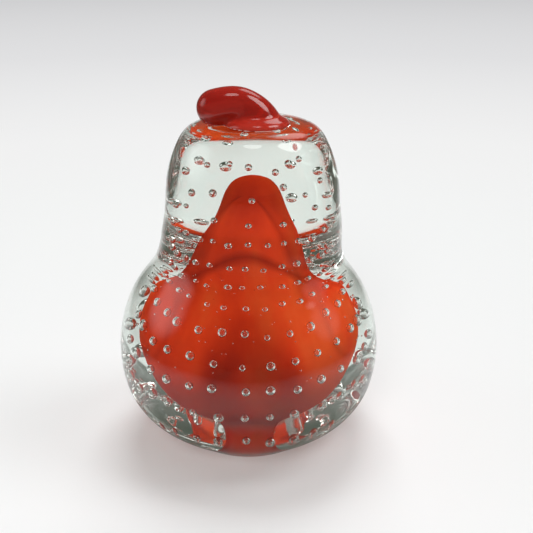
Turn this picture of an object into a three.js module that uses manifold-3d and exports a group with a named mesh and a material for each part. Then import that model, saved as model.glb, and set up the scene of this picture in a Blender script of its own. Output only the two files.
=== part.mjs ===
// Glass pear paperweight with controlled bubbles. Millimetres, +Z up.
// The origin is the centre of the ground base, and the photograph's view looks along +Y.
// The glass lies in layers: a red core, a clear gather with rings of dimples pressed into it, and a
// thick clear casing that shuts a bubble of air into each dimple. A red stem is melted on the dome.

import * as THREE from 'three';
import { mergeGeometries, mergeVertices } from 'three/addons/utils/BufferGeometryUtils.js';
import Module from 'manifold-3d';

// Driving dimensions of the pear

const bulbDiameter = 82.8;
const headDiameter = 57.2; // at the crease
const glassHeight = 105; // base to the top of the dome
const creaseHeight = 65.2; // base to the crease between bulb and head
const baseDiameter = 40.4; // ground flat
const headLean = 1.5; // how far the head stands to the right of the bulb
const leanRun = 24; // height over which the lean comes in, centred on the crease

// Walls of the two clear layers

const casingBulbWall = 15.7;
const casingHeadWall = 12.3;
const casingTopWall = 12.1;
const gatherBulbWall = 1.4;
const gatherHeadWall = 5.1;
const gatherTopWall = 6;
const gatherFootWall = 9.7;
const layerGap = 0.3;

// Neck of the core, left from the iron on which the glass was gathered

const puntyDiameter = 8;

// Bubbles: one dimple where a ring crosses a column, the print of a spike of the mould

const dimpleDiameter = 2.8;
const dimpleTopShare = 0.62; // diameter that is left at the height of the tip
const dimpleDepth = 1;
const dimpleColumns = 22;
const ringPitch = 7.3; // along the gather's outline
const lowestRing = 9.8; // along the outline from the base
const tipMargin = 9; // along the outline from the last ring to the tip
const sparseRings = 3; // rings nearest the tip, which have half the columns

// Stem

const stemFootDiameter = 20;
const stemFootRise = 2.2; // middle of the foot above the dome
const stemFootDepth = 1; // widest level of the foot below the top of the dome
const stemShift = 2.8; // centre of the foot to the right of the head's axis
const stemForward = 4.4; // centre of the foot to the front of the head's axis
const stemRootOffset = 1.2; // root of the stem to the right of the foot's centre
const stemRootDiameter = 13;
const stemDiameter = 10.6; // of the folded end
const stemRun = 13.4; // root to the centre of the round end
const stemRise = 4.5; // top of the dome to the highest place of the axis

// How finely the curves are faceted

const casingSides = 36;
const gatherSides = 2 * dimpleColumns;
const coreSides = 28;
const outlineSteps = 25;
const dimpleSides = 6;
const footSides = 28;
const footRings = 12;
const stemSides = 16;
const stemSteps = 12;
const stemEndSteps = 4;

// Outlines, from the base up. A bulb row is [swell share, height share]: swell 0 is the layer's waist
// radius and 1 its bulb radius, and height 1 is the crease. A head row is [radius share, height
// share]: radius 1 is the waist radius, height 0 is the crease and 1 the layer's top.

const casingBulbShares = [
  [-0.156, 0.072], [0.352, 0.149], [0.766, 0.256], [1, 0.436], [0.906, 0.641], [0.5, 0.822],
  [0.12, 0.929],
];
const casingHeadShares = [
  [0.98, 0.13], [0.946, 0.32], [0.917, 0.546], [0.822, 0.78], [0.698, 0.915], [0.394, 0.98],
];
const gatherBulbShares = [
  [0.17, 0.083], [0.6, 0.19], [0.92, 0.33], [1, 0.49], [0.71, 0.63], [0.27, 0.75], [0.05, 0.87],
];
const gatherHeadShares = [
  [1.01, 0.22], [1.01, 0.45], [0.93, 0.68], [0.72, 0.87], [0.4, 0.97],
];
const coreBulbShares = [
  [-0.5, 0.14], [-0.42, 0.195], [-0.1, 0.238], [0.4, 0.285], [0.8, 0.38], [1, 0.51],
  [0.765, 0.635], [0.379, 0.76], [0.1, 0.91],
];
const coreHeadShares = [
  [0.84, 0.3], [0.71, 0.5], [0.61, 0.67], [0.49, 0.85], [0.355, 0.94], [0.18, 0.985],
];

// Line of the stem from its root to the centre of its round end: [run share, rise share]

const stemLineShares = [
  [0, -0.35], [0.18, 0.42], [0.45, 0.95], [0.72, 1], [1, 0.84],
];
const stemTaperShare = 0.5; // part of the line over which the root narrows

// The three layers, each worked inwards from the one outside it

const casing = {
  footRadius: baseDiameter / 2,
  bulbRadius: bulbDiameter / 2,
  waistRadius: headDiameter / 2,
  topHeight: glassHeight,
  bulbShares: casingBulbShares,
  headShares: casingHeadShares,
};
const gather = {
  footRadius: puntyDiameter / 2 + layerGap + gatherFootWall,
  bulbRadius: casing.bulbRadius - casingBulbWall - layerGap,
  waistRadius: casing.waistRadius - casingHeadWall - layerGap,
  topHeight: casing.topHeight - casingTopWall - layerGap,
  bulbShares: gatherBulbShares,
  headShares: gatherHeadShares,
};
const core = {
  footRadius: puntyDiameter / 2,
  bulbRadius: gather.bulbRadius - gatherBulbWall - layerGap,
  waistRadius: gather.waistRadius - gatherHeadWall - layerGap,
  topHeight: gather.topHeight - gatherTopWall - layerGap,
  bulbShares: coreBulbShares,
  headShares: coreHeadShares,
};

// Overrun of a cut past the face that it opens

const cutOverrun = 2;

// Materials

function clearGlass() {
  return new THREE.MeshStandardMaterial({
    color: 0xeef4f1, roughness: 0.03, metalness: 0, transparent: true, opacity: 0.3,
  });
}

function redGlass(color) {
  return new THREE.MeshStandardMaterial({ color, roughness: 0.04, metalness: 0 });
}

const coreColor = 0xd8330f;
const stemColor = 0xa81008;

// Solids

const wasm = await Module();
wasm.setup();

// Closed mesh as a solid: shared vertices are merged, and the triangles that collapse to a line at a
// pole are left out

function solidOf(geometry) {
  const bare = geometry.clone();
  bare.deleteAttribute('normal');
  bare.deleteAttribute('uv');
  const merged = mergeVertices(bare);
  const corners = merged.index.array;
  const kept = [];
  for (let at = 0; at < corners.length; at += 3) {
    const [a, b, c] = corners.slice(at, at + 3);
    if (a !== b && b !== c && c !== a) kept.push(a, b, c);
  }
  const vertProperties = new Float32Array(merged.attributes.position.array);
  const triVerts = new Uint32Array(kept);
  return new wasm.Manifold(new wasm.Mesh({ numProp: 3, vertProperties, triVerts }));
}

// Everything above the bulb stands a little to the right, eased in round the crease

function leanAt(height) {
  const low = creaseHeight - leanRun / 2;
  return headLean * THREE.MathUtils.smoothstep(height, low, low + leanRun);
}

function meshOf(solid, name, material) {
  const { vertProperties, triVerts } = solid.getMesh();
  const positions = new Float32Array(vertProperties);
  for (let at = 0; at < positions.length; at += 3) {
    positions[at] += leanAt(positions[at + 2]);
  }
  const geometry = new THREE.BufferGeometry();
  geometry.setAttribute('position', new THREE.BufferAttribute(positions, 3));
  geometry.setIndex(new THREE.BufferAttribute(new Uint32Array(triVerts), 1));
  geometry.computeVertexNormals();
  const mesh = new THREE.Mesh(geometry, material);
  mesh.name = name;
  return mesh;
}

// Smooth outline of a layer as points (radius, height), from the base to the tip

function layerOutline(layer) {
  const { footRadius, bulbRadius, waistRadius, topHeight } = layer;
  const points = [new THREE.Vector2(footRadius, 0)];
  for (const [swell, height] of layer.bulbShares) {
    const radius = THREE.MathUtils.lerp(waistRadius, bulbRadius, swell);
    points.push(new THREE.Vector2(radius, height * creaseHeight));
  }
  points.push(new THREE.Vector2(waistRadius, creaseHeight));
  for (const [radius, height] of layer.headShares) {
    const level = THREE.MathUtils.lerp(creaseHeight, topHeight, height);
    points.push(new THREE.Vector2(radius * waistRadius, level));
  }
  points.push(new THREE.Vector2(0, topHeight));
  return new THREE.SplineCurve(points).getPoints(outlineSteps);
}

// Direction out of the glass at one point of an outline

function outwardAt(outline, index) {
  if (index === 0) return new THREE.Vector2(1, 0);
  if (index === outline.length - 1) return new THREE.Vector2(0, 1);
  const along = outline[index + 1].clone().sub(outline[index - 1]).normalize();
  return new THREE.Vector2(along.y, -along.x);
}

function widened(outline, gap) {
  return outline.map((point, index) => point.clone().addScaledVector(outwardAt(outline, index), gap));
}

// Solid of revolution of an outline, with a facet to the front. With an overrun, it also runs that
// far down past the base.

function turned(outline, sides, overrun = 0) {
  const profile = [new THREE.Vector2(0, -overrun), new THREE.Vector2(outline[0].x, -overrun)];
  if (overrun > 0) profile.push(outline[0]);
  profile.push(...outline.slice(1));
  const geometry = new THREE.LatheGeometry(profile, sides, Math.PI / sides);
  geometry.rotateX(Math.PI / 2);
  return solidOf(geometry);
}

// Places of the rings on the gather: point, direction out of the glass and number of dimples

function bubbleRings(outline) {
  const distances = [0];
  for (let index = 1; index < outline.length; index += 1) {
    distances.push(distances[index - 1] + outline[index].distanceTo(outline[index - 1]));
  }
  const rings = [];
  const last = distances[distances.length - 1] - tipMargin;
  for (let distance = lowestRing; distance <= last; distance += ringPitch) {
    const next = distances.findIndex((reached) => reached > distance);
    const share = (distance - distances[next - 1]) / (distances[next] - distances[next - 1]);
    const point = outline[next - 1].clone().lerp(outline[next], share);
    const outward = outwardAt(outline, next - 1).lerp(outwardAt(outline, next), share).normalize();
    rings.push({ point, outward, count: dimpleColumns });
  }
  for (const ring of rings.slice(-sparseRings)) ring.count = dimpleColumns / 2;
  return rings;
}

// Spikes of the mould, one for each dimple: cones with their points in the glass. The first column
// faces the front.

function mouldSpikes(outline) {
  const spikes = [];
  const length = dimpleDepth + cutOverrun;
  const tipHeight = outline[outline.length - 1].y;
  for (const { point, outward, count } of bubbleRings(outline)) {
    const held = THREE.MathUtils.lerp(1, dimpleTopShare, point.y / tipHeight);
    const width = (held * dimpleDiameter * length) / dimpleDepth;
    const middle = point.clone().addScaledVector(outward, length / 2 - dimpleDepth);
    const tilt = Math.atan2(outward.x, outward.y);
    for (let column = 0; column < count; column += 1) {
      const spike = new THREE.ConeGeometry(width / 2, length, dimpleSides);
      spike.rotateX(-Math.PI / 2);
      spike.rotateY(tilt);
      spike.translate(middle.x, 0, middle.y);
      spike.rotateZ((2 * Math.PI * column) / count - Math.PI / 2);
      spikes.push(spike);
    }
  }
  return solidOf(mergeGeometries(spikes));
}

// Round rod along a path, from its root to a ball-shaped end

function roundRod(path, radiusAt) {
  const frames = path.computeFrenetFrames(stemSteps);
  const rings = [];
  for (let step = 0; step <= stemSteps; step += 1) {
    const share = step / stemSteps;
    rings.push({ centre: path.getPointAt(share), frame: step, radius: radiusAt(share) });
  }
  const end = rings[stemSteps];
  const forward = frames.tangents[stemSteps];
  for (let step = 1; step < stemEndSteps; step += 1) {
    const angle = (step / stemEndSteps) * (Math.PI / 2);
    const centre = end.centre.clone().addScaledVector(forward, end.radius * Math.sin(angle));
    rings.push({ centre, frame: stemSteps, radius: end.radius * Math.cos(angle) });
  }
  const positions = [];
  for (const { centre, frame, radius } of rings) {
    for (let side = 0; side < stemSides; side += 1) {
      const angle = (2 * Math.PI * side) / stemSides;
      const point = centre.clone();
      point.addScaledVector(frames.normals[frame], radius * Math.cos(angle));
      point.addScaledVector(frames.binormals[frame], radius * Math.sin(angle));
      positions.push(...point.toArray());
    }
  }
  const tip = end.centre.clone().addScaledVector(forward, end.radius);
  const rootPole = rings.length * stemSides;
  const tipPole = rootPole + 1;
  positions.push(...rings[0].centre.toArray(), ...tip.toArray());
  const corners = [];
  for (let side = 0; side < stemSides; side += 1) {
    const next = (side + 1) % stemSides;
    corners.push(rootPole, next, side);
    for (let ring = 0; ring + 1 < rings.length; ring += 1) {
      const low = ring * stemSides;
      const high = low + stemSides;
      corners.push(low + side, low + next, high + next, low + side, high + next, high + side);
    }
    const lastRing = (rings.length - 1) * stemSides;
    corners.push(lastRing + side, lastRing + next, tipPole);
  }
  const geometry = new THREE.BufferGeometry();
  geometry.setAttribute('position', new THREE.Float32BufferAttribute(positions, 3));
  geometry.setIndex(corners);
  return solidOf(geometry);
}

// The pieces

const casingOutline = layerOutline(casing);
const gatherOutline = layerOutline(gather);
const coreOutline = layerOutline(core);

function redCore() {
  return turned(coreOutline, coreSides);
}

function innerGather() {
  const bore = turned(widened(coreOutline, layerGap), coreSides, cutOverrun);
  return turned(gatherOutline, gatherSides).subtract(bore).subtract(mouldSpikes(gatherOutline));
}

function outerCasing() {
  const bore = turned(widened(gatherOutline, layerGap), gatherSides, cutOverrun);
  return turned(casingOutline, casingSides).subtract(bore);
}

function stem() {
  const rootX = stemShift + stemRootOffset;
  const line = stemLineShares.map(([run, rise]) => new THREE.Vector3(
    rootX - run * stemRun,
    -stemForward,
    glassHeight + rise * stemRise,
  ));
  const rod = roundRod(new THREE.CatmullRomCurve3(line), (share) => {
    const narrowed = THREE.MathUtils.smoothstep(share, 0, stemTaperShare);
    return THREE.MathUtils.lerp(stemRootDiameter, stemDiameter, narrowed) / 2;
  });
  const foot = new THREE.SphereGeometry(1, footSides, footRings);
  foot.rotateX(Math.PI / 2);
  foot.scale(stemFootDiameter / 2, stemFootDiameter / 2, stemFootRise + stemFootDepth);
  foot.translate(stemShift, -stemForward, glassHeight - stemFootDepth);
  const seat = turned(widened(casingOutline, layerGap), casingSides, cutOverrun);
  return rod.add(solidOf(foot)).subtract(seat);
}

const paperweight = new THREE.Group();
paperweight.name = 'glass_pear_paperweight';
paperweight.add(
  meshOf(redCore(), 'red_core', redGlass(coreColor)),
  meshOf(innerGather(), 'inner_gather', clearGlass()),
  meshOf(outerCasing(), 'outer_casing', clearGlass()),
  meshOf(stem(), 'stem', redGlass(stemColor)),
);

export default paperweight;
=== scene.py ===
# Glass pear paperweight with controlled bubbles: the looks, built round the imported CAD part.
# Metres, +Z up, in the frame of the CAD. The photograph's view looks along +Y.

import math
import random

import bpy
import numpy as np
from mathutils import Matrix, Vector
from mathutils.bvhtree import BVHTree


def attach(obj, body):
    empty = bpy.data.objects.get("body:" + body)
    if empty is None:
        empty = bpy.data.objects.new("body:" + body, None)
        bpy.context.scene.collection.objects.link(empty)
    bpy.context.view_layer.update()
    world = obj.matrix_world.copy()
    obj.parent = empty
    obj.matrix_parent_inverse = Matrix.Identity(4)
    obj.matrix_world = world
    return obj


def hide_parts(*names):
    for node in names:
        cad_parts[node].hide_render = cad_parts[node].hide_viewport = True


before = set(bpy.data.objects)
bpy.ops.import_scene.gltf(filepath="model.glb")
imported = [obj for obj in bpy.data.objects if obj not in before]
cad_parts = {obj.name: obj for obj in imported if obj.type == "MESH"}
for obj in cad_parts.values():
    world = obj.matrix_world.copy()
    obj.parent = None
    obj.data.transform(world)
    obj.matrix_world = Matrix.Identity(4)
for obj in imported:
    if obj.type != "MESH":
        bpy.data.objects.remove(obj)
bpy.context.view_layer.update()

MM = 0.001

# Driving dimensions, millimetres, as in the CAD source but for the stem's diameter

BULB_DIAMETER = 82.8
HEAD_DIAMETER = 57.2
GLASS_HEIGHT = 105.0
CREASE_HEIGHT = 65.2
BASE_DIAMETER = 40.4
HEAD_LEAN = 1.5
LEAN_RUN = 24.0

CASING_BULB_WALL = 15.7
CASING_HEAD_WALL = 12.3
CASING_TOP_WALL = 12.1
GATHER_BULB_WALL = 1.4
GATHER_HEAD_WALL = 5.1
GATHER_TOP_WALL = 6.0
GATHER_FOOT_WALL = 9.7
LAYER_GAP = 0.3
PUNTY_DIAMETER = 8.0

BUBBLE_DIAMETER = 2.8
BUBBLE_TOP_SHARE = 0.62
BUBBLE_COLUMNS = 22
RING_PITCH = 7.3
LOWEST_RING = 9.8
TIP_MARGIN = 9.0
SPARSE_RINGS = 3

STEM_FOOT_DIAMETER = 20.0
STEM_FOOT_RISE = 2.2
STEM_FOOT_DEPTH = 1.0
STEM_SHIFT = 2.8
STEM_FORWARD = 4.4
STEM_ROOT_OFFSET = 1.2
STEM_ROOT_DIAMETER = 13.0
STEM_DIAMETER = 11.2  # 10.6 in the CAD source
STEM_RUN = 13.4
STEM_RISE = 4.5
STEM_TAPER_SHARE = 0.5

# Outlines of the layers: swell from waist to bulb or share of the waist, and share of the height

CASING_BULB_SHARES = [
    (-0.156, 0.072), (0.352, 0.149), (0.766, 0.256), (1, 0.436), (0.906, 0.641), (0.5, 0.822),
    (0.12, 0.929),
]
CASING_HEAD_SHARES = [
    (0.98, 0.13), (0.946, 0.32), (0.917, 0.546), (0.822, 0.78), (0.698, 0.915), (0.394, 0.98),
]
GATHER_BULB_SHARES = [
    (0.17, 0.083), (0.6, 0.19), (0.92, 0.33), (1, 0.49), (0.71, 0.63), (0.27, 0.75), (0.05, 0.87),
]
GATHER_HEAD_SHARES = [
    (1.01, 0.22), (1.01, 0.45), (0.93, 0.68), (0.72, 0.87), (0.4, 0.97),
]
CORE_BULB_SHARES = [
    (-0.5, 0.14), (-0.42, 0.195), (-0.1, 0.238), (0.4, 0.285), (0.8, 0.38), (1, 0.51),
    (0.765, 0.635), (0.379, 0.76), (0.1, 0.91),
]
CORE_HEAD_SHARES = [
    (0.84, 0.3), (0.71, 0.5), (0.61, 0.67), (0.49, 0.85), (0.355, 0.94), (0.18, 0.985),
]
STEM_LINE_SHARES = [
    (0, -0.35), (0.18, 0.42), (0.45, 0.95), (0.72, 1), (1, 0.84),
]

# Chance in the bubbles, millimetres and degrees

SEED = 14
RING_STRAY = 0.6
COLUMN_STRAY_DEGREES = 2.2
SPARSE_STRAY = 3
FIRST_COLUMN_DEGREES = -94
BUBBLE_SIZE_SHARES = (0.75, 1.15)
TINY_BUBBLES = 150
TINY_HEIGHT_SHARES = (0.3, 0.66)
TINY_DISTANCES = (0.3, 1.2)
TINY_RADII = (0.12, 0.3)

# Painted shade in the core's colour, as brightness by share of its height, and darker arch lines in
# its neck, by share of the arch's width

# Painted shade: a dark disc low in the bell and a dark band at the shoulder, where shadow and the
# waist's dark band show through the glass
CORE_PAINTED_SHADE = [
    (0, 0.95), (0.15, 0.9), (0.19, 0.46), (0.26, 0.64), (0.36, 0.6), (0.42, 0.48), (0.48, 0.58),
    (0.54, 0.82), (0.6, 1), (0.735, 1), (0.765, 0.48), (0.79, 1), (0.9, 0.95), (0.95, 0.7), (1, 0.55),
]
# The painted shade bands sink and fade towards the sides of the core
BAND_SINK = 0.07
BAND_HALF_WIDTHS = (8, 17)
BAND_SIDE_SHARE = 0.35
ARCH_SHADES = [(0, 1), (0.4, 1.06), (0.48, 0.66), (0.58, 0.88), (1, 0.9)]
ARCH_TOP_SHARE = 0.96
ARCH_FOOT_SHARES = (0.50, 0.64)
ARCH_SPREAD = 22.0
SHADE_REDDENING = 1.3

# Forms that only the looks have, millimetres

FOOT_ROUNDING = 1.2
CORE_LIFT = 0.05

# How finely the surfaces are meshed, millimetres and counts

CASING_SIDES = 256
CORE_SIDES = 160
OUTLINE_STEP = 0.5
OUTLINE_SAMPLES = 2000
FOOT_ROUNDING_STEPS = 8
BASE_RINGS = 12
BUBBLE_SIDES = (20, 12)
TINY_SIDES = (8, 6)
STEM_SIDES = (40, 20)
STEM_FOOT_SIDES = (80, 40)
MELT_VOXEL = 0.35
MELT_SOFTENING = 0.5
MELT_SOFTENING_ROUNDS = 50

# Where stem and dome are fused

CONTACT_GAP = 0.02
CONTACT_REACH = 3 * CONTACT_GAP
CONTACT_FACING = -0.7
SEAT_FROM_SHARE = 0.8
CONTACT_FROM_SHARE = 0.9

# Glass, with the depth of its uneven skin in millimetres

GLASS_IOR = 1.52
FUSED_IOR = 1
SKIN_DEPTH = 0.04

# Studio, metres and degrees, with azimuth 0 at the photograph's front and 90 at its right

FLOOR_REACH = 6.0
FLOOR_DROP = -0.00005
PAPER_COLOUR = (0.86, 0.86, 0.87)
BACKDROP_COLOUR = (0.62, 0.62, 0.63)
DARK_COLOUR = (0.13, 0.14, 0.12)
SHEET_FRONT = (-0.25, -0.10)
SHEET_SIDES = (0.26, 0.15)
# Reach and depth of the painted shadow on the floor round the base
SHADED_REACH = (0.044, 0.06)
SHADED_SHARE = 0.3
FAR_FLOOR = (0.22, 0.5)
SWEEP_REACH = 2
BEHIND_FROM = (0.85, 0.95)
AIM_HEIGHT = 0.75 * CREASE_HEIGHT * MM
# Each window's azimuth, elevation, radius of its even middle, outer radius and strength
ROOM_WINDOWS = [
    (-92, 24, 6, 24, 1.5), (80, 21, 6, 19, 0.7), (86, 50, 13, 17, 5), (150, 47, 8, 15, 2.4),
    (0, 76, 8, 11, 3.6),
]
CAMERA_PLACE = (0, -0.26964, 0.16091)
CAMERA_DOWN_DEGREES = 21.016
CAMERA_TURN_DEGREES = -1.22
CAMERA_SENSOR_MM = 36
CAMERA_LENS_MM = 61.51
CAMERA_CLIP = (0.01, 50)
BOUNCES = 32
MIRROR_BOUNCES = 24


# Outlines as points (radius, height), from the base to the tip

def eased(share):
    held = min(1.0, max(0.0, share))
    return held * held * (3 - 2 * held)


def lean_at(height):
    low = CREASE_HEIGHT - LEAN_RUN / 2
    return HEAD_LEAN * eased((height - low) / LEAN_RUN)


def lerp(low, high, share):
    return low + (high - low) * share


def bends(at, values):
    """Second derivatives of the smooth curve through the values."""
    count = len(at)
    steps = np.diff(at)
    slopes = np.diff(values) / steps
    matrix = np.eye(count)
    target = np.zeros(count)
    for row in range(1, count - 1):
        matrix[row, row - 1] = steps[row - 1]
        matrix[row, row] = 2 * (steps[row - 1] + steps[row])
        matrix[row, row + 1] = steps[row]
        target[row] = 6 * (slopes[row] - slopes[row - 1])
    return np.linalg.solve(matrix, target)


def on_curve(at, values, bend, wanted):
    place = np.clip(np.searchsorted(at, wanted) - 1, 0, len(at) - 2)
    step = at[place + 1] - at[place]
    left = (at[place + 1] - wanted) / step
    right = (wanted - at[place]) / step
    line = left * values[place] + right * values[place + 1]
    curve = (left ** 3 - left) * bend[place] + (right ** 3 - right) * bend[place + 1]
    return line + curve * step ** 2 / 6


def run_along(line):
    """Distance travelled along a line up to each of its points."""
    return np.concatenate(([0.0], np.cumsum(np.linalg.norm(np.diff(line, axis=0), axis=1))))


def smooth_line(points, step, mirrored=False):
    """Evenly spaced points on the smooth curve through some points. A mirrored one crosses the axis
    at its end at a right angle."""
    knots = np.array(points, float)
    count = len(knots)
    if mirrored:
        back = knots[-2::-1].copy()
        back[:, 0] *= -1
        knots = np.vstack((knots, back))
    at = run_along(knots)
    fine = np.linspace(0, at[count - 1], OUTLINE_SAMPLES)
    line = np.stack(
        [on_curve(at, values, bends(at, values), fine) for values in knots.T], axis=1
    )
    run = run_along(line)
    wanted = np.linspace(0, run[-1], max(2, round(run[-1] / step)) + 1)
    return np.stack([np.interp(wanted, run, values) for values in line.T], axis=1)


def layer_line(layer):
    foot, bulb, waist, top, bulb_shares, head_shares = layer
    points = [(foot, 0.0)]
    for swell, height in bulb_shares:
        points.append((lerp(waist, bulb, swell), height * CREASE_HEIGHT))
    points.append((waist, CREASE_HEIGHT))
    for radius, height in head_shares:
        points.append((radius * waist, lerp(CREASE_HEIGHT, top, height)))
    points.append((0.0, top))
    return smooth_line(points, OUTLINE_STEP, mirrored=True)


casing_sizes = (
    BASE_DIAMETER / 2, BULB_DIAMETER / 2, HEAD_DIAMETER / 2, GLASS_HEIGHT,
    CASING_BULB_SHARES, CASING_HEAD_SHARES,
)
gather_sizes = (
    PUNTY_DIAMETER / 2 + LAYER_GAP + GATHER_FOOT_WALL,
    casing_sizes[1] - CASING_BULB_WALL - LAYER_GAP,
    casing_sizes[2] - CASING_HEAD_WALL - LAYER_GAP,
    casing_sizes[3] - CASING_TOP_WALL - LAYER_GAP,
    GATHER_BULB_SHARES, GATHER_HEAD_SHARES,
)
core_sizes = (
    PUNTY_DIAMETER / 2,
    gather_sizes[1] - GATHER_BULB_WALL - LAYER_GAP,
    gather_sizes[2] - GATHER_HEAD_WALL - LAYER_GAP,
    gather_sizes[3] - GATHER_TOP_WALL - LAYER_GAP,
    CORE_BULB_SHARES, CORE_HEAD_SHARES,
)
gather_top = gather_sizes[3]
core_top = core_sizes[3]
casing_line = layer_line(casing_sizes)
gather_line = layer_line(gather_sizes)
core_line = layer_line(core_sizes)


def outward_at(line):
    """Unit direction out of the glass at each point of an outline."""
    along = np.gradient(line, axis=0)
    along /= np.linalg.norm(along, axis=1, keepdims=True)
    return np.stack((along[:, 1], -along[:, 0]), axis=1)


def with_base(line):
    """Outline from the centre of the base, with the edge of the base rounded off."""
    edge = line[0]
    run = np.linalg.norm(line - edge, axis=1)
    kept = line[run > FOOT_ROUNDING]
    first = np.array((edge[0] - FOOT_ROUNDING, edge[1]))
    corner = []
    for step in range(FOOT_ROUNDING_STEPS + 1):
        share = step / FOOT_ROUNDING_STEPS
        inner = first + (edge - first) * share
        outer = edge + (kept[0] - edge) * share
        corner.append(inner + (outer - inner) * share)
    flat = [(first[0] * ring / BASE_RINGS, edge[1]) for ring in range(BASE_RINGS)]
    return np.vstack((flat, corner, kept[1:]))


# Meshes

def new_piece(name, vertices, faces, materials):
    mesh = bpy.data.meshes.new(name)
    mesh.from_pydata([Vector(v) * MM for v in vertices], [], faces)
    mesh.update()
    mesh.shade_smooth()
    for material in materials:
        mesh.materials.append(material)
    piece = bpy.data.objects.new(name, mesh)
    bpy.context.scene.collection.objects.link(piece)
    return piece


def turned(profile, sides):
    """Vertices and faces of a profile of points (radius, height) turned about the vertical axis. Both
    of its ends are on the axis."""
    vertices = [(0.0, 0.0, profile[0][1])]
    for radius, height in profile[1:-1]:
        for side in range(sides):
            angle = 2 * math.pi * side / sides
            vertices.append((radius * math.cos(angle), radius * math.sin(angle), height))
    vertices.append((0.0, 0.0, profile[-1][1]))
    last = len(vertices) - 1
    rings = len(profile) - 2
    faces = []
    for side in range(sides):
        after = (side + 1) % sides
        faces.append((0, 1 + after, 1 + side))
        for ring in range(rings - 1):
            low = 1 + ring * sides
            high = low + sides
            faces.append((low + side, low + after, high + after, high + side))
        top = 1 + (rings - 1) * sides
        faces.append((top + side, top + after, last))
    return vertices, faces


def revolved(line, sides):
    """A layer's outline turned about the axis, which leans with the head."""
    vertices, faces = turned(line, sides)
    leaned = [(x + lean_at(z), y, z) for x, y, z in vertices]
    return leaned, faces


def ball_mesh(centre, radius, sides, squash=1.0):
    """Vertices and faces of a ball with some sides across and down, its poles up and down."""
    across, down = sides
    x, y, z = centre
    tilts = [math.pi * row / down for row in range(down + 1)]
    profile = [(radius * math.sin(tilt), -radius * squash * math.cos(tilt)) for tilt in tilts]
    vertices, faces = turned(profile, across)
    return [(x + dx, y + dy, z + dz) for dx, dy, dz in vertices], faces


def joined(parts):
    vertices = []
    faces = []
    for some, sides in parts:
        first = len(vertices)
        vertices.extend(some)
        faces.extend(tuple(first + corner for corner in side) for side in sides)
    return vertices, faces


# Materials

class Graph:
    """The nodes of a material or a world, with a short call for each kind that repeats."""

    def __init__(self, tree):
        self.nodes = tree.nodes
        self.links = tree.links

    def feed(self, socket, value):
        """A socket takes another node's output, or a number or colour of its own."""
        if isinstance(value, bpy.types.NodeSocket):
            self.links.new(value, socket)
        elif socket.type == "RGBA":
            socket.default_value = (*value, 1)
        else:
            socket.default_value = value

    def math(self, operation, *values):
        node = self.nodes.new("ShaderNodeMath")
        node.operation = operation
        for socket, value in zip(node.inputs, values):
            self.feed(socket, value)
        return node.outputs["Value"]

    def spread(self, value, limits, ends=(0, 1), smooth=False):
        """A value between two limits, as a share between two ends."""
        node = self.nodes.new("ShaderNodeMapRange")
        node.interpolation_type = "SMOOTHSTEP" if smooth else "LINEAR"
        self.feed(node.inputs["Value"], value)
        node.inputs["From Min"].default_value = limits[0]
        node.inputs["From Max"].default_value = limits[1]
        node.inputs["To Min"].default_value = ends[0]
        node.inputs["To Max"].default_value = ends[1]
        return node.outputs["Result"]

    def ramp(self, value, stops):
        node = self.nodes.new("ShaderNodeValToRGB")
        elements = node.color_ramp.elements
        while len(elements) < len(stops):
            elements.new(0.5)
        for element, (place, colour) in zip(elements, stops):
            element.position = place
            element.color = (*colour, 1)
        self.feed(node.inputs["Fac"], value)
        return node.outputs["Color"]

    def shade(self, value, stops):
        """A ramp of brightness, which turns a little redder as it darkens."""
        return self.ramp(value, [
            (place, (level, level ** SHADE_REDDENING, level ** SHADE_REDDENING))
            for place, level in stops
        ])

    def noise(self, scale, detail, stretch=(1, 1, 1)):
        """Noise in the object's own coordinates, in waves per metre."""
        mapping = self.nodes.new("ShaderNodeMapping")
        mapping.inputs["Scale"].default_value = stretch
        self.feed(mapping.inputs["Vector"], self.place())
        texture = self.nodes.new("ShaderNodeTexNoise")
        texture.inputs["Scale"].default_value = scale
        texture.inputs["Detail"].default_value = detail
        self.feed(texture.inputs["Vector"], mapping.outputs["Vector"])
        return texture.outputs["Fac"]

    def drift(self, stops, scale, detail, stretch=(1, 1, 1)):
        """Colours that drift with the noise."""
        return self.ramp(self.noise(scale, detail, stretch), stops)

    def place(self):
        """The object's own coordinates."""
        return self.nodes.new("ShaderNodeTexCoord").outputs["Object"]

    def split(self, vector):
        node = self.nodes.new("ShaderNodeSeparateXYZ")
        self.feed(node.inputs["Vector"], vector)
        return node.outputs["X"], node.outputs["Y"], node.outputs["Z"]

    def mix(self, share, first, second, blend="MIX"):
        node = self.nodes.new("ShaderNodeMixRGB")
        node.blend_type = blend
        self.feed(node.inputs["Fac"], share)
        self.feed(node.inputs["Color1"], first)
        self.feed(node.inputs["Color2"], second)
        return node.outputs["Color"]

    def mix_shaders(self, share, first, second):
        node = self.nodes.new("ShaderNodeMixShader")
        for socket, value in zip(node.inputs, (share, first, second)):
            self.feed(socket, value)
        return node.outputs["Shader"]

    def ray(self, kind):
        return self.nodes.new("ShaderNodeLightPath").outputs[kind]


def new_material(name):
    material = bpy.data.materials.new(name)
    material.use_nodes = True
    graph = Graph(material.node_tree)
    return material, graph, graph.nodes["Principled BSDF"]


def glass_material(name, transmission, ior):
    material, graph, glass = new_material(name)
    glass.inputs["Transmission Weight"].default_value = transmission
    glass.inputs["IOR"].default_value = ior
    glass.inputs["Roughness"].default_value = 0
    return material, graph, glass


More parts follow.
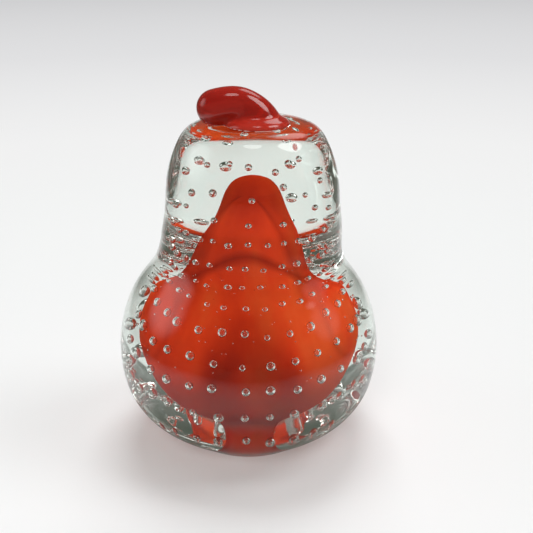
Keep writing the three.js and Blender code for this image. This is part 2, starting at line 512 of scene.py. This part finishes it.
def let_lamps_through(graph, glass, outside, inside=None):
    """Lamps shine through the glass, so that it doesn't cast a black shadow. What stands outside gets
    both shares of a lamp behind the glass, and what lies inside gets only the inside share, which is
    the outside share where none is given."""
    clear = graph.nodes.new("ShaderNodeBsdfTransparent")
    colour = outside
    if inside:
        side = graph.nodes.new("ShaderNodeNewGeometry")
        colour = graph.mix(side.outputs["Backfacing"], outside, inside)
    graph.feed(clear.inputs["Color"], colour)
    surface = graph.mix_shaders(
        graph.ray("Is Shadow Ray"), glass.outputs["BSDF"], clear.outputs["BSDF"]
    )
    graph.feed(graph.nodes["Material Output"].inputs["Surface"], surface)


def casing_material():
    material, graph, glass = glass_material("clear_casing_glass", transmission=1, ior=GLASS_IOR)
    cords = graph.drift(
        [(0.3, (0.80, 0.89, 0.83)), (0.7, (0.86, 0.93, 0.88))],
        scale=60, detail=2, stretch=(1, 1, 0.25),
    )
    graph.feed(glass.inputs["Base Color"], cords)
    skin = graph.nodes.new("ShaderNodeBump")
    skin.inputs["Strength"].default_value = 1
    skin.inputs["Distance"].default_value = SKIN_DEPTH * MM
    graph.feed(skin.inputs["Height"], graph.noise(scale=120, detail=2, stretch=(1, 1, 0.4)))
    graph.feed(glass.inputs["Normal"], skin.outputs["Normal"])
    let_lamps_through(graph, glass, outside=(0.22, 0.20, 0.20), inside=(0.95, 0.93, 0.92))
    return material


def fused_material(name, tints):
    """Glass that doesn't bend the light, where two layers are fused."""
    material, graph, glass = glass_material(name, transmission=1, ior=FUSED_IOR)
    graph.feed(glass.inputs["Base Color"], graph.drift(tints, scale=200, detail=1))
    return material


def air_material():
    material, graph, glass = glass_material("trapped_air", transmission=1, ior=GLASS_IOR)
    tint = graph.drift([(0.3, (0.95, 0.97, 0.96)), (0.7, (1, 1, 1))], scale=300, detail=1)
    graph.feed(glass.inputs["Base Color"], tint)
    let_lamps_through(graph, glass, outside=(1, 1, 1))
    return material


def core_with_painted_shade(graph, tint):
    """The core's colour with painted shade in bands and a disc, lighter to the sides, and darker arch
    lines in its neck.
    """
    x, _, z = graph.split(graph.place())
    aside = graph.math("ABSOLUTE", x)
    sunk = graph.math("MULTIPLY", graph.math("POWER", aside, 2), BAND_SINK / MM)
    # Painted shade: the core's brightness by height, the bands sinking and weakening to the sides
    level = graph.spread(graph.math("ADD", z, sunk), (0, core_top * MM))
    middle = graph.spread(
        aside, [width * MM for width in BAND_HALF_WIDTHS], (1, BAND_SIDE_SHARE), smooth=True
    )
    banded = graph.mix(middle, tint, graph.shade(level, CORE_PAINTED_SHADE), "MULTIPLY")
    rise = graph.math("DIVIDE", z, core_top * MM)
    below = graph.math("SUBTRACT", ARCH_TOP_SHARE, rise)
    half_width = graph.math("MULTIPLY", graph.math("SQRT", below), ARCH_SPREAD * MM)
    across = graph.math("MULTIPLY", graph.math("DIVIDE", aside, half_width), 0.5)
    arch = graph.spread(rise, ARCH_FOOT_SHARES)
    return graph.mix(arch, banded, graph.shade(across, ARCH_SHADES), "MULTIPLY")


def core_material():
    material, graph, glass = glass_material("orange_red_core_glass", transmission=0.4, ior=FUSED_IOR)
    streaks = graph.drift(
        [(0.32, (0.78, 0.045, 0.010)), (0.5, (1.0, 0.075, 0.014)), (0.68, (1.0, 0.13, 0.028))],
        scale=75, detail=4, stretch=(1, 1, 0.16),
    )
    graph.feed(glass.inputs["Base Color"], core_with_painted_shade(graph, streaks))
    depth = graph.nodes.new("ShaderNodeVolumeAbsorption")
    depth.inputs["Color"].default_value = (0.90, 0.30, 0.10, 1)
    depth.inputs["Density"].default_value = 60
    graph.feed(graph.nodes["Material Output"].inputs["Volume"], depth.outputs["Volume"])
    let_lamps_through(graph, glass, outside=(0.26, 0.05, 0.04))
    return material


def stem_material():
    material, graph, glass = glass_material("deep_red_stem_glass", transmission=0.45, ior=GLASS_IOR)
    streaks = graph.drift(
        [(0.3, (0.42, 0.018, 0.012)), (0.7, (0.56, 0.035, 0.022))],
        scale=150, detail=3, stretch=(0.3, 1, 1),
    )
    graph.feed(glass.inputs["Base Color"], streaks)
    let_lamps_through(graph, glass, outside=(0.5, 0.05, 0.03))
    return material


def floor_material():
    """Pale paper. The camera sees it everywhere, fading into the backdrop. Everything else sees a
    sheet of it in a dark room, with a painted shadow close to the base."""
    material, graph, paper = new_material("pale_paper")
    paper.inputs["Roughness"].default_value = 0.9
    place = graph.place()
    x, y, _ = graph.split(place)
    away = graph.nodes.new("ShaderNodeVectorMath")
    away.operation = "LENGTH"
    graph.feed(away.inputs[0], place)
    distance = away.outputs["Value"]
    beside = graph.spread(graph.math("ABSOLUTE", x), SHEET_SIDES)
    sheet = graph.math("MULTIPLY", graph.spread(y, SHEET_FRONT), beside)
    # Painted shadow: the paper darkens close to the base for all but camera rays
    shaded = graph.spread(distance, SHADED_REACH, (SHADED_SHARE, 1), smooth=True)
    lit = graph.ramp(
        graph.math("MULTIPLY", sheet, shaded), [(0.0, DARK_COLOUR), (1.0, PAPER_COLOUR)]
    )
    camera = graph.ray("Is Camera Ray")
    graph.feed(paper.inputs["Base Color"], graph.mix(camera, lit, PAPER_COLOUR))
    sweep = graph.nodes.new("ShaderNodeEmission")
    graph.feed(sweep.inputs["Color"], graph.ramp(graph.spread(distance, (0, SWEEP_REACH)), [
        (0.0, (0.90, 0.90, 0.90)), (0.22, (0.88, 0.88, 0.88)), (0.45, (0.75, 0.75, 0.76)),
        (0.9, BACKDROP_COLOUR),
    ]))
    glassy = graph.math(
        "MAXIMUM", graph.ray("Is Transmission Ray"), graph.ray("Is Glossy Ray")
    )
    seen = graph.math("MAXIMUM", camera, graph.math("MULTIPLY", glassy, sheet))
    far = graph.spread(distance, FAR_FLOOR, smooth=True)
    surface = graph.mix_shaders(
        graph.math("MULTIPLY", seen, far), paper.outputs["BSDF"], sweep.outputs["Emission"]
    )
    graph.feed(graph.nodes["Material Output"].inputs["Surface"], surface)
    return material


# Pieces

def make_casing():
    vertices, faces = revolved(with_base(casing_line), CASING_SIDES)
    contact = fused_material("fused_joint", [(0.3, (0.94, 0.97, 0.95)), (0.7, (1, 1, 1))])
    return new_piece("casing_glass", vertices, faces, [casing_material(), contact])


def make_core():
    line = core_line.copy()
    line[:, 1] = np.maximum(line[:, 1], CORE_LIFT)
    vertices, faces = revolved(with_base(line), CORE_SIDES)
    return new_piece("core_glass_bell", vertices, faces, [core_material()])


def air_ball(radius, height, angle, size, sides):
    """A ball of air, with its faces turned inward, at a distance from the leaning axis."""
    place = (radius * math.cos(angle) + lean_at(height), radius * math.sin(angle), height)
    vertices, faces = ball_mesh(place, size, sides)
    return vertices, [face[::-1] for face in faces]


def ring_bubbles():
    """Bubbles in rings on the gather, the highest rings with half as many, further astray."""
    rng = random.Random(SEED)
    run = run_along(gather_line)
    rings = np.arange(LOWEST_RING, run[-1] - TIP_MARGIN, RING_PITCH)
    balls = []
    for index, distance in enumerate(rings):
        sparse = index >= len(rings) - SPARSE_RINGS
        count = BUBBLE_COLUMNS // 2 if sparse else BUBBLE_COLUMNS
        loose = SPARSE_STRAY if sparse else 1
        for column in range(count):
            along = distance + loose * rng.uniform(-RING_STRAY, RING_STRAY)
            radius = np.interp(along, run, gather_line[:, 0])
            height = np.interp(along, run, gather_line[:, 1])
            stray = loose * rng.uniform(-COLUMN_STRAY_DEGREES, COLUMN_STRAY_DEGREES)
            angle = math.radians(FIRST_COLUMN_DEGREES + 360 * column / count + stray)
            held = lerp(1, BUBBLE_TOP_SHARE, height / gather_top)
            size = BUBBLE_DIAMETER / 2 * held * rng.uniform(*BUBBLE_SIZE_SHARES)
            balls.append(air_ball(radius, height, angle, size, BUBBLE_SIDES))
    return balls


def tiny_bubbles():
    rng = random.Random(SEED + 1)
    balls = []
    for _ in range(TINY_BUBBLES):
        height = rng.uniform(*TINY_HEIGHT_SHARES) * gather_top
        surface = np.interp(height, core_line[:, 1], core_line[:, 0])
        radius = surface + rng.uniform(*TINY_DISTANCES)
        angle = rng.uniform(0, 2 * math.pi)
        balls.append(air_ball(radius, height, angle, rng.uniform(*TINY_RADII), TINY_SIDES))
    return balls


def make_bubbles():
    vertices, faces = joined(ring_bubbles() + tiny_bubbles())
    return new_piece("air_bubbles", vertices, faces, [air_material()])


def stem_balls():
    """Balls along a tapering rod that rises from the dome and folds over to the left, and a flat one
    for its foot. They don't lean with the head, as the stem of the CAD does."""
    root_x = STEM_SHIFT + STEM_ROOT_OFFSET
    points = [
        (root_x - run * STEM_RUN, -STEM_FORWARD, GLASS_HEIGHT + rise * STEM_RISE)
        for run, rise in STEM_LINE_SHARES
    ]
    path = smooth_line(points, OUTLINE_STEP)
    balls = []
    for index, centre in enumerate(path):
        narrowed = eased(index / (len(path) - 1) / STEM_TAPER_SHARE)
        radius = lerp(STEM_ROOT_DIAMETER, STEM_DIAMETER, narrowed) / 2
        balls.append(ball_mesh(centre, radius, STEM_SIDES))
    foot = (STEM_SHIFT, -STEM_FORWARD, GLASS_HEIGHT - STEM_FOOT_DEPTH)
    half = STEM_FOOT_DIAMETER / 2
    flattened = (STEM_FOOT_RISE + STEM_FOOT_DEPTH) / half
    balls.append(ball_mesh(foot, half, STEM_FOOT_SIDES, flattened))
    return balls


def make_stem():
    """The balls melted into one body, and cut to sit on the dome."""
    piece = new_piece("stem_glass", *joined(stem_balls()), [])
    melt = piece.modifiers.new("melt", "REMESH")
    melt.mode = "VOXEL"
    melt.voxel_size = MELT_VOXEL * MM
    soften = piece.modifiers.new("soften", "SMOOTH")
    soften.factor = MELT_SOFTENING
    soften.iterations = MELT_SOFTENING_ROUNDS
    skin = casing_line + outward_at(casing_line) * CONTACT_GAP
    dome = skin[skin[:, 1] > SEAT_FROM_SHARE * GLASS_HEIGHT]
    seat_line = np.vstack(((0, dome[0][1]), dome))
    seat = new_piece("seat", *revolved(seat_line, CASING_SIDES // 2), [])
    cut = piece.modifiers.new("cut", "BOOLEAN")
    cut.operation = "DIFFERENCE"
    cut.solver = "EXACT"
    cut.object = seat
    graph = bpy.context.evaluated_depsgraph_get()
    done = bpy.data.meshes.new_from_object(piece.evaluated_get(graph))
    piece.modifiers.clear()
    piece.data = done
    bpy.data.objects.remove(seat)
    joint = fused_material("red_fused_joint", [(0.3, (0.60, 0.06, 0.03)), (0.7, (0.70, 0.10, 0.05))])
    done.materials.clear()
    done.materials.append(stem_material())
    done.materials.append(joint)
    done.shade_smooth()
    return piece


def mark_contact(stem, casing):
    """The faces where stem and dome are fused take the joint's material."""
    reach = CONTACT_REACH * MM
    dome = BVHTree.FromPolygons(
        [v.co for v in casing.data.vertices], [p.vertices for p in casing.data.polygons]
    )
    seats = []
    for face in stem.data.polygons:
        _, normal, _, distance = dome.find_nearest(face.center)
        if distance < reach and face.normal.dot(normal) < CONTACT_FACING:
            face.material_index = 1
            seats.append(tuple(face.vertices))
    patch = BVHTree.FromPolygons([v.co for v in stem.data.vertices], seats)
    for face in casing.data.polygons:
        if face.center.z < CONTACT_FROM_SHARE * GLASS_HEIGHT * MM:
            continue
        place, _, _, distance = patch.find_nearest(face.center)
        if place is not None and distance < reach:
            face.material_index = 1


# Studio

def make_floor():
    low, high = -FLOOR_REACH, FLOOR_REACH
    outline = [(low, low), (high, low), (high, high), (low, high)]
    mesh = bpy.data.meshes.new("floor")
    mesh.from_pydata([(x, y, FLOOR_DROP) for x, y in outline], [], [(0, 1, 2, 3)])
    mesh.materials.append(floor_material())
    floor = bpy.data.objects.new("floor", mesh)
    bpy.context.scene.collection.objects.link(floor)


def direction_to(azimuth, elevation):
    turn = math.radians(azimuth)
    rise = math.radians(elevation)
    return Vector((math.sin(turn) * math.cos(rise), -math.cos(turn) * math.cos(rise), math.sin(rise)))


def make_lamp(name, azimuth, elevation, distance, size, power):
    """A square soft lamp that looks at the object, unseen by the camera and in the glass."""
    data = bpy.data.lights.new(name, "AREA")
    data.shape = "SQUARE"
    data.size = size
    data.energy = power
    lamp = bpy.data.objects.new(name, data)
    away = direction_to(azimuth, elevation)
    lamp.location = Vector((0, 0, AIM_HEIGHT)) + away * distance
    lamp.rotation_euler = away.to_track_quat("Z", "Y").to_euler()
    lamp.visible_camera = False
    lamp.visible_glossy = False
    lamp.visible_transmission = False
    bpy.context.scene.collection.objects.link(lamp)


def room_window(graph, direction, azimuth, elevation, inner, outer, strength):
    """Strength of a soft round window of the room, by the angle from its middle."""
    near = graph.nodes.new("ShaderNodeVectorMath")
    near.operation = "DOT_PRODUCT"
    graph.feed(near.inputs[0], direction)
    near.inputs[1].default_value = direction_to(azimuth, elevation)
    edges = (math.cos(math.radians(outer)), math.cos(math.radians(inner)))
    return graph.spread(near.outputs["Value"], edges, (0, strength), smooth=True)


def background(graph, colour, strength=1):
    node = graph.nodes.new("ShaderNodeBackground")
    graph.feed(node.inputs["Color"], colour)
    graph.feed(node.inputs["Strength"], strength)
    return node.outputs["Background"]


def make_world():
    """A plain backdrop for the camera. Glass mirrors and bends a dark room instead, with pale paper
    low behind the object and soft windows."""
    world = bpy.data.worlds.new("room")
    bpy.context.scene.world = world
    world.use_nodes = True
    graph = Graph(world.node_tree)
    graph.nodes.clear()
    direction = graph.nodes.new("ShaderNodeTexCoord").outputs["Generated"]
    _, depth, height = graph.split(direction)
    paper = graph.ramp(height, [
        (0.0, (0.90, 0.90, 0.90)), (0.03, (0.80, 0.81, 0.80)), (0.09, (0.16, 0.18, 0.15)),
        (0.4, (0.09, 0.10, 0.08)), (1.0, (0.07, 0.08, 0.07)),
    ])
    dark = graph.ramp(height, [
        (0.0, DARK_COLOUR), (0.3, (0.09, 0.10, 0.08)), (1.0, (0.06, 0.07, 0.055)),
    ])
    wall = graph.mix(graph.spread(depth, BEHIND_FROM, smooth=True), dark, paper)
    strength = 0
    for window in ROOM_WINDOWS:
        strength = graph.math("ADD", strength, room_window(graph, direction, *window))
    mirrored = graph.math("SUBTRACT", 1, graph.ray("Is Diffuse Ray"))
    windows = background(graph, (1, 1, 1), graph.math("MULTIPLY", strength, mirrored))
    lit = graph.nodes.new("ShaderNodeAddShader")
    graph.feed(lit.inputs[0], windows)
    graph.feed(lit.inputs[1], background(graph, wall))
    surface = graph.mix_shaders(
        graph.ray("Is Camera Ray"), lit.outputs["Shader"], background(graph, BACKDROP_COLOUR)
    )
    out = graph.nodes.new("ShaderNodeOutputWorld")
    graph.feed(out.inputs["Surface"], surface)


def make_camera():
    data = bpy.data.cameras.new("camera")
    data.sensor_width = CAMERA_SENSOR_MM
    data.lens = CAMERA_LENS_MM
    data.clip_start, data.clip_end = CAMERA_CLIP
    camera = bpy.data.objects.new("camera", data)
    camera.location = CAMERA_PLACE
    camera.rotation_euler = (
        math.radians(90 - CAMERA_DOWN_DEGREES), 0, math.radians(CAMERA_TURN_DEGREES)
    )
    bpy.context.scene.collection.objects.link(camera)
    bpy.context.scene.camera = camera


casing = make_casing()
core = make_core()
bubbles = make_bubbles()
stem = make_stem()
mark_contact(stem, casing)

for piece, node, slot in (
    (casing, "outer_casing", "clear_glass"),
    (bubbles, "inner_gather", "clear_glass"),
    (core, "red_core", "core_glass"),
    (stem, "stem", "stem_glass"),
):
    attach(piece, "root")
    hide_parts(node)

make_floor()
make_world()
make_lamp("overhead", azimuth=174, elevation=70, distance=1.6, size=0.8, power=15.5)
make_lamp("front", azimuth=-10, elevation=34, distance=1.2, size=0.45, power=5.6)
make_camera()

bpy.context.scene.view_settings.view_transform = "Standard"
paths = bpy.context.scene.cycles
paths.max_bounces = BOUNCES
paths.glossy_bounces = MIRROR_BOUNCES
paths.transmission_bounces = BOUNCES
paths.transparent_max_bounces = BOUNCES
